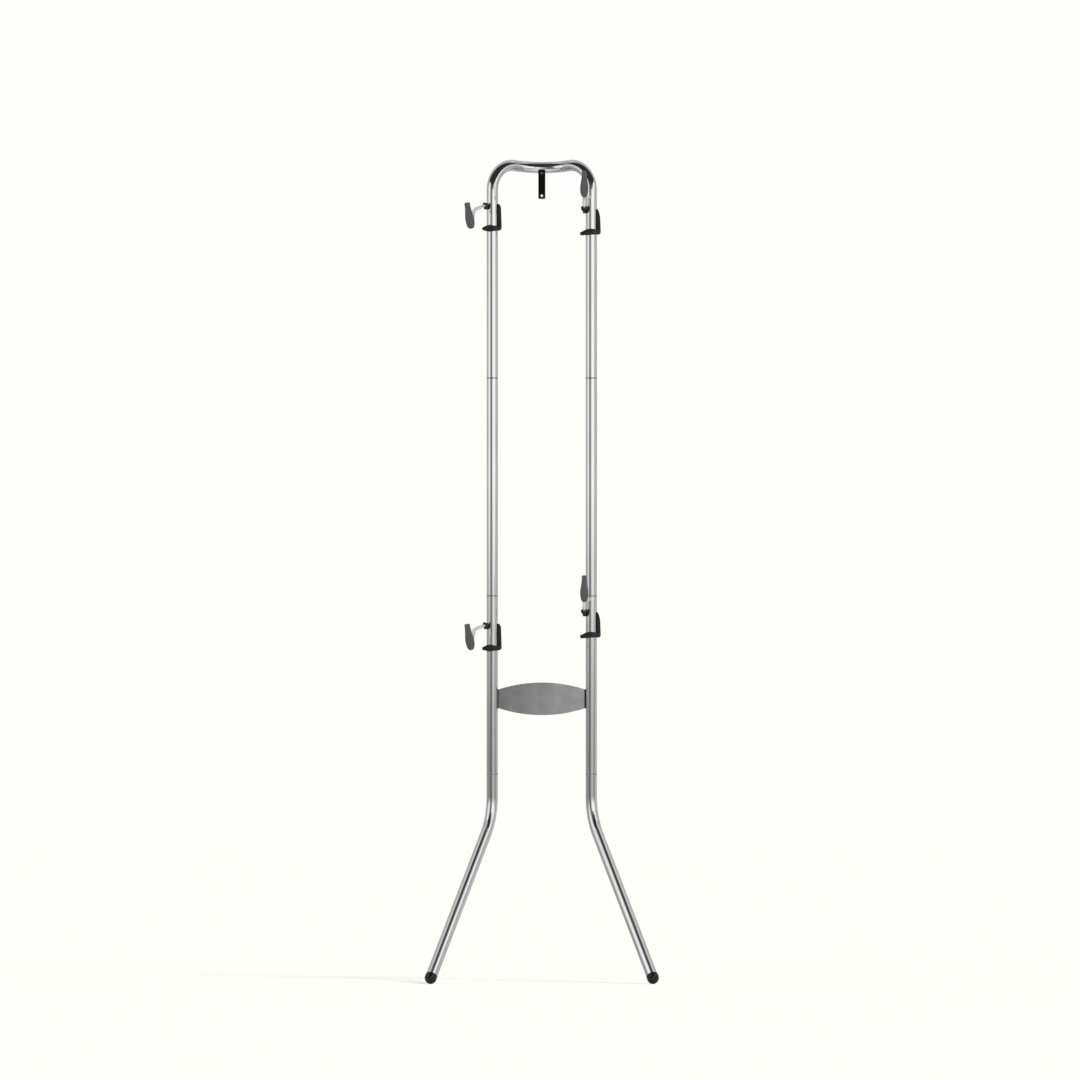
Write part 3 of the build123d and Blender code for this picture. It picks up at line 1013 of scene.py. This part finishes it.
class STAND_OT_brackets(bpy.types.Operator):
    """Make the moulded brackets that grip the uprights"""

    bl_idname = "stand.brackets"
    bl_label = "Brackets"

    def execute(self, context):
        bore = context.scene.stand_tubes.diameter / 2 + lip_fit
        for arm in arms:
            place = arm_place(arm)
            bm = bmesh.new()
            bm.from_mesh(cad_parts[f"{arm}_bracket"].data)
            bmesh.ops.remove_doubles(bm, verts=bm.verts, dist=1e-6)
            for outline, near, far in bracket_cuts(context.scene.stand_arms, arm):
                cutter = prism(outline, near, far)
                bmesh.ops.transform(cutter, matrix=place, verts=cutter.verts)
                carve(bm, cutter)
            soften(bm, skin_voxel, skin_rounds)
            clear_bore(bm, place.translation, bore)
            node = f"{arm}_bracket"
            finish_piece(bm, f"{arm}_clamp", f"{arm}_arm", "bracket_black", node, radians(80))
        return {"FINISHED"}


class STAND_OT_rods(bpy.types.Operator):
    """Make the bent steel rods"""

    bl_idname = "stand.rods"
    bl_label = "Rods"

    def execute(self, context):
        sizes = context.scene.stand_arms
        radius = sizes.rod_diameter / 2
        bends = (sizes.rod_bend, sizes.rod_bend)
        for arm in arms:
            bm = bmesh.new()
            sweep_tube(bm, rod_corners(sizes, arm), bends, radius, rod_lip, 32, radians(6))
            bmesh.ops.transform(bm, matrix=arm_place(arm), verts=bm.verts)
            finish_piece(bm, f"{arm}_bent_rod", f"{arm}_arm", "rod_steel", f"{arm}_rod")
        return {"FINISHED"}


class STAND_OT_pads(bpy.types.Operator):
    """Make the rubber pads on the rods' upturned ends"""

    bl_idname = "stand.pads"
    bl_label = "Pads"

    def execute(self, context):
        sizes = context.scene.stand_arms
        for arm in arms:
            bm = bmesh.new()
            pad_skin(bm, sizes)
            bmesh.ops.transform(bm, matrix=pad_place(sizes, arm), verts=bm.verts)
            node = f"{arm}_pad"
            piece = finish_piece(
                bm, f"{arm}_paddle", f"{arm}_arm", "pad_rubber", node, radians(70)
            )
            rounded = piece.modifiers.new("Round", "SUBSURF")
            rounded.levels = 2
            rounded.render_levels = 2
        return {"FINISHED"}


def pad_skin(bm, sizes):
    """A rounded square, extruded from section to section up the Z axis and closed."""
    bmesh.ops.create_circle(bm, segments=40, radius=1.0)
    for vert in bm.verts:
        x, y = vert.co.x, vert.co.y
        swell = (abs(x) ** pad_squareness + abs(y) ** pad_squareness) ** (-1 / pad_squareness)
        vert.co.x, vert.co.y = x * swell, y * swell
    ring = list(bm.edges)
    last_height, last_width, last_depth = pad_sections[0]
    foot = (sizes.pad_width / 2 * last_width, sizes.pad_depth / 2 * last_depth, 1.0)
    bmesh.ops.scale(bm, vec=foot, verts=bm.verts)
    for height, width, depth in pad_sections[1:]:
        stretch = Matrix.Diagonal((width / last_width, depth / last_depth, 1.0, 1.0))
        rise = (height - last_height) * sizes.pad_height
        ring = extrude_ring(bm, ring, Matrix.Translation((0, 0, rise)) @ stretch)
        last_height, last_width, last_depth = height, width, depth
    close_loops(bm)


def pad_place(sizes, arm):
    """Where a pad stands: on its rod's upturned end, the left-hand ones a little turned."""
    cradle, tip = rod_corners(sizes, arm)[-2:]
    upward = (tip - cradle).normalized()
    turn = left_pad_turn if arm.endswith("left") else 0.0
    forward = Vector((cos(turn), sin(turn), 0)).cross(upward).normalized()
    across = upward.cross(forward)
    axes = Matrix((across, -forward, upward)).transposed().to_4x4()
    return arm_place(arm) @ Matrix.Translation(cradle - upward * pad_drop) @ axes


# Stage: the lamps' places, how much weaker and softer the fill lamp is, and the darkest grey
key_place = (2.6, -3.4, 4.4)
fill_place = (-3.5, -4.0, 2.2)
fill_ratio = 3.0
dark_grey = 0.03

# Greys that the plating mirrors, each after its degrees round the stand: 0 in front, 90 to the right
wall_foot_greys = (
    (-180, 0.5), (-130, 0.38), (-97, 0.26), (-74, 0.31), (-47, 0.2), (-27, 0.1), (-6, 0.31),
    (14, 0.6), (35, 0.44), (60, 0.27), (81, 0.38), (112, 0.57), (180, 0.5),
)
wall_middle_greys = (
    (-180, 0.49), (-100, 0.48), (-80, 0.8), (-74, 1.0), (-50, 0.9), (-44, 0.75), (-38, 0.15),
    (-22, 0.12), (-14, 0.3), (-6, 0.45), (6, 0.9), (20, 1.1), (45, 1.1), (60, 0.9), (75, 0.55),
    (90, 0.48), (120, 0.5), (180, 0.5),
)
wall_head_greys = (
    (-180, 0.5), (-100, 0.48), (-80, 0.8), (-74, 1.0), (-50, 0.9), (-32, 0.12), (0, 0.12),
    (20, 0.25), (34, 1.0), (66, 1.0), (78, 0.55), (90, 0.48), (120, 0.5), (180, 0.5),
)
wall_top_greys = (
    (-180, 0.5), (-125, 0.5), (-95, 0.38), (-80, 0.45), (-68, 1.1), (-56, 1.3), (-44, 0.3),
    (-30, 0.06), (30, 0.05), (44, 0.4), (55, 1.2), (70, 1.35), (82, 0.6), (95, 0.42),
    (125, 0.6), (180, 0.5),
)
floor_greys = (
    (-180, 0.5), (-130, 0.35), (-100, 0.12), (-82, 0.75), (-68, 0.8), (-54, 0.5), (-36, 0.72),
    (36, 0.72), (54, 0.5), (64, 0.8), (82, 0.75), (98, 0.15), (120, 0.35), (180, 0.5),
)

# Greys of the ceiling, each after its place, from -1 on the left to 1 on the right
ceiling_greys = (
    (-1.0, 0.5), (-0.6, 0.5), (-0.485, 0.9), (-0.4, 0.45), (-0.3, 0.27), (-0.15, 0.09),
    (0.0, 0.03), (0.15, 0.08), (0.3, 0.28), (0.4, 0.45), (0.5, 0.8), (0.6, 0.6), (1.0, 0.55),
)


def smooth_step(tree, value, low, high):
    """A smooth step of a socket from 0 at one value to 1 at another."""
    return map_range(tree, value, low, high, kind="SMOOTHSTEP")


def around_ramp(tree, place, greys):
    """A ramp of greys round the stand, over a point's X, Y and Z."""
    forwards = math_node(tree, "MULTIPLY", place["Y"], -1.0)
    turn = math_node(tree, "ARCTAN2", place["X"], forwards)
    share = math_node(tree, "MULTIPLY_ADD", turn, 0.5 / pi, 0.5)
    return colour_ramp(tree, share, [(angle / 360 + 0.5, level) for angle, level in greys])


def make_world():
    """A pale world. Shiny pieces see a dark ceiling in front and a pale wall behind."""
    world = bpy.data.worlds.new("Studio")
    world.use_nodes = True
    bpy.context.scene.world = world
    tree = world.node_tree
    place = split_place(tree, "ShaderNodeTexCoord", "Generated")
    across = math_node(tree, "MULTIPLY_ADD", place["X"], 0.5, 0.5)
    sides = colour_ramp(tree, across, [(x / 2 + 0.5, level) for x, level in ceiling_greys])
    high = smooth_step(tree, place["Z"], 0.68, 0.78)
    overhead = smooth_step(tree, place["Y"], -0.5, -0.4)
    lit = math_node(tree, "MULTIPLY", high, overhead)
    ceiling = mix_colours(tree, lit, grey(dark_grey), sides)
    behind = smooth_step(tree, place["Y"], 0.1, 0.45)
    studio = mix_colours(tree, behind, ceiling, grey(0.55))
    path = add_node(tree, "ShaderNodeLightPath", {})
    soft = mix_colours(tree, path.outputs["Is Glossy Ray"], grey(0.62), studio)
    shown = mix_colours(tree, path.outputs["Is Camera Ray"], soft, (1.0, 1.0, 0.96, 1.0))
    tree.links.new(shown, tree.nodes["Background"].inputs["Color"])


def add_stage_object(bm, name, material):
    """A stage object with a bmesh's shape and a material. The bmesh is freed."""
    item = add_object(bm, name)
    bm.free()
    item.data.materials.append(material)
    return item


def add_mirrored_object(bm, name, glow):
    """A stage object that only shiny pieces see. It glows in a grey that depends on the place."""
    material = bpy.data.materials.new(name)
    material.use_nodes = True
    material.cycles.emission_sampling = "NONE"
    tree = material.node_tree
    tree.nodes.remove(tree.nodes["Principled BSDF"])
    place = split_place(tree, "ShaderNodeNewGeometry", "Position")
    shader = add_node(tree, "ShaderNodeEmission", {"Color": glow(tree, place)})
    output = tree.nodes["Material Output"]
    tree.links.new(shader.outputs["Emission"], output.inputs["Surface"])
    item = add_stage_object(bm, name, material)
    for ray in ("camera", "diffuse", "transmission", "volume_scatter", "shadow"):
        setattr(item, f"visible_{ray}", False)


def make_studio_wall(radius, height):
    """The round wall of the studio, with its soft boxes."""
    bm = bmesh.new()
    middle = Matrix.Translation((0, 0, height / 2))
    bmesh.ops.create_cone(
        bm, segments=96, radius1=radius, radius2=radius, depth=height, matrix=middle
    )
    add_mirrored_object(bm, "studio_wall", wall_glow)


def wall_glow(tree, place):
    """The wall's greys, which change from its foot to its top."""
    foot, middle, head, top = (
        around_ramp(tree, place, greys)
        for greys in (wall_foot_greys, wall_middle_greys, wall_head_greys, wall_top_greys)
    )
    lower = mix_colours(tree, smooth_step(tree, place["Z"], 0.5, 1.35), foot, middle)
    upper = mix_colours(tree, smooth_step(tree, place["Z"], 2.5, 3.0), head, top)
    return mix_colours(tree, smooth_step(tree, place["Z"], 2.05, 2.35), lower, upper)


def make_canopy(width, depth, height):
    """A dark canopy over the arch and the arms."""
    bm = bmesh.new()
    bmesh.ops.create_grid(bm, x_segments=1, y_segments=1, size=0.5)
    bmesh.ops.scale(bm, vec=(width, depth, 1.0), verts=bm.verts)
    bmesh.ops.translate(bm, vec=(0, -0.2, height), verts=bm.verts)
    add_mirrored_object(bm, "canopy", canopy_glow)


def canopy_glow(tree, place):
    """The canopy's grey, which turns pale at the back."""
    back = smooth_step(tree, place["Y"], 0.1, 0.2)
    return mix_colours(tree, back, grey(dark_grey), grey(0.5))


def make_floor(size):
    """A plain pale floor that keeps the object's shadow."""
    material = bpy.data.materials.new("Pale floor")
    material.use_nodes = True
    tree = material.node_tree
    shader = tree.nodes["Principled BSDF"]
    shader.inputs["Roughness"].default_value = 0.9
    shader.inputs["Specular IOR Level"].default_value = 0.0
    shader.inputs["Emission Strength"].default_value = 1.0
    place = split_place(tree, "ShaderNodeNewGeometry", "Position")
    mirrored = around_ramp(tree, place, floor_greys)
    path = add_node(tree, "ShaderNodeLightPath", {})
    pale = (0.8, 0.8, 0.76, 1.0)
    colour = mix_colours(tree, path.outputs["Is Glossy Ray"], pale, mirrored)
    tree.links.new(colour, shader.inputs["Base Color"])
    lift = (0.2, 0.2, 0.178, 1.0)
    glow = mix_colours(tree, path.outputs["Is Camera Ray"], grey(0.0), lift)
    tree.links.new(glow, shader.inputs["Emission Color"])
    bm = bmesh.new()
    bmesh.ops.create_grid(bm, x_segments=1, y_segments=1, size=size / 2)
    add_stage_object(bm, "floor", material)


def make_lamp(name, strength, spread, place):
    """A soft distant lamp that points at the stand and doesn't show in the plating."""
    data = bpy.data.lights.new(name, "SUN")
    data.energy = strength
    data.angle = spread
    lamp = bpy.data.objects.new(name, data)
    lamp.location = place
    lamp.rotation_euler = Vector(place).to_track_quat("Z", "Y").to_euler()
    lamp.visible_glossy = False
    bpy.context.scene.collection.objects.link(lamp)


def make_camera(sizes):
    """A level camera, straight in front of the stand and far away."""
    data = bpy.data.cameras.new("camera")
    data.sensor_width = 36.0
    data.lens = data.sensor_width * sizes.camera_distance / sizes.view_width
    data.clip_start = 0.5
    data.clip_end = 300.0
    camera = bpy.data.objects.new("camera", data)
    ahead = upright_y - sizes.camera_distance
    camera.location = (sizes.camera_side, ahead, sizes.camera_height)
    camera.rotation_euler = (pi / 2, 0, 0)
    bpy.context.scene.collection.objects.link(camera)
    bpy.context.scene.camera = camera


class STAND_OT_stage(bpy.types.Operator):
    """Set the floor, the lamps, the world and the camera"""

    bl_idname = "stand.stage"
    bl_label = "Stage"

    def execute(self, context):
        scene = context.scene
        sizes = scene.stand_stage
        make_floor(sizes.floor_size)
        make_world()
        make_studio_wall(sizes.studio_radius, sizes.studio_height)
        make_canopy(sizes.canopy_width, sizes.canopy_depth, sizes.canopy_height)
        strength = sizes.key_strength
        spread = sizes.key_spread
        make_lamp("key_lamp", strength, spread, key_place)
        make_lamp("fill_lamp", strength / fill_ratio, spread * fill_ratio, fill_place)
        make_camera(sizes)
        scene.view_settings.view_transform = "Standard"
        return {"FINISHED"}


class STAND_PT_panel(bpy.types.Panel):
    """The stand's operators and sizes"""

    bl_label = "Bicycle stand"
    bl_idname = "STAND_PT_panel"
    bl_space_type = "VIEW_3D"
    bl_region_type = "UI"
    bl_category = "Bicycle Stand"

    def draw(self, context):
        for name, group in groups:
            box = self.layout.box()
            for setting in group.__annotations__:
                box.prop(getattr(context.scene, name), setting)
        for operator in operators:
            self.layout.operator(operator.bl_idname)


groups = (
    ("stand_tubes", StandTubeSizes),
    ("stand_arms", StandArmSizes),
    ("stand_finishes", StandFinishes),
    ("stand_stage", StandStageSizes),
)
operators = (
    STAND_OT_tubes,
    STAND_OT_foot_caps,
    STAND_OT_cross_plate,
    STAND_OT_wall_strap,
    STAND_OT_linings,
    STAND_OT_brackets,
    STAND_OT_rods,
    STAND_OT_pads,
    STAND_OT_stage,
)


def register():
    """Register the sizes, the operators and the panel."""
    for name, group in groups:
        bpy.utils.register_class(group)
        setattr(bpy.types.Scene, name, bpy.props.PointerProperty(type=group))
    for operator in operators:
        bpy.utils.register_class(operator)
    bpy.utils.register_class(STAND_PT_panel)


def unregister():
    """Take the panel, the operators and the sizes out again."""
    bpy.utils.unregister_class(STAND_PT_panel)
    for operator in reversed(operators):
        bpy.utils.unregister_class(operator)
    for name, group in reversed(groups):
        delattr(bpy.types.Scene, name)
        bpy.utils.unregister_class(group)


def main():
    """Make every piece and the stage."""
    register()
    bpy.ops.stand.tubes()
    bpy.ops.stand.foot_caps()
    bpy.ops.stand.cross_plate()
    bpy.ops.stand.wall_strap()
    bpy.ops.stand.linings()
    bpy.ops.stand.brackets()
    bpy.ops.stand.rods()
    bpy.ops.stand.pads()
    bpy.ops.stand.stage()


if __name__ == "__main__":
    main()
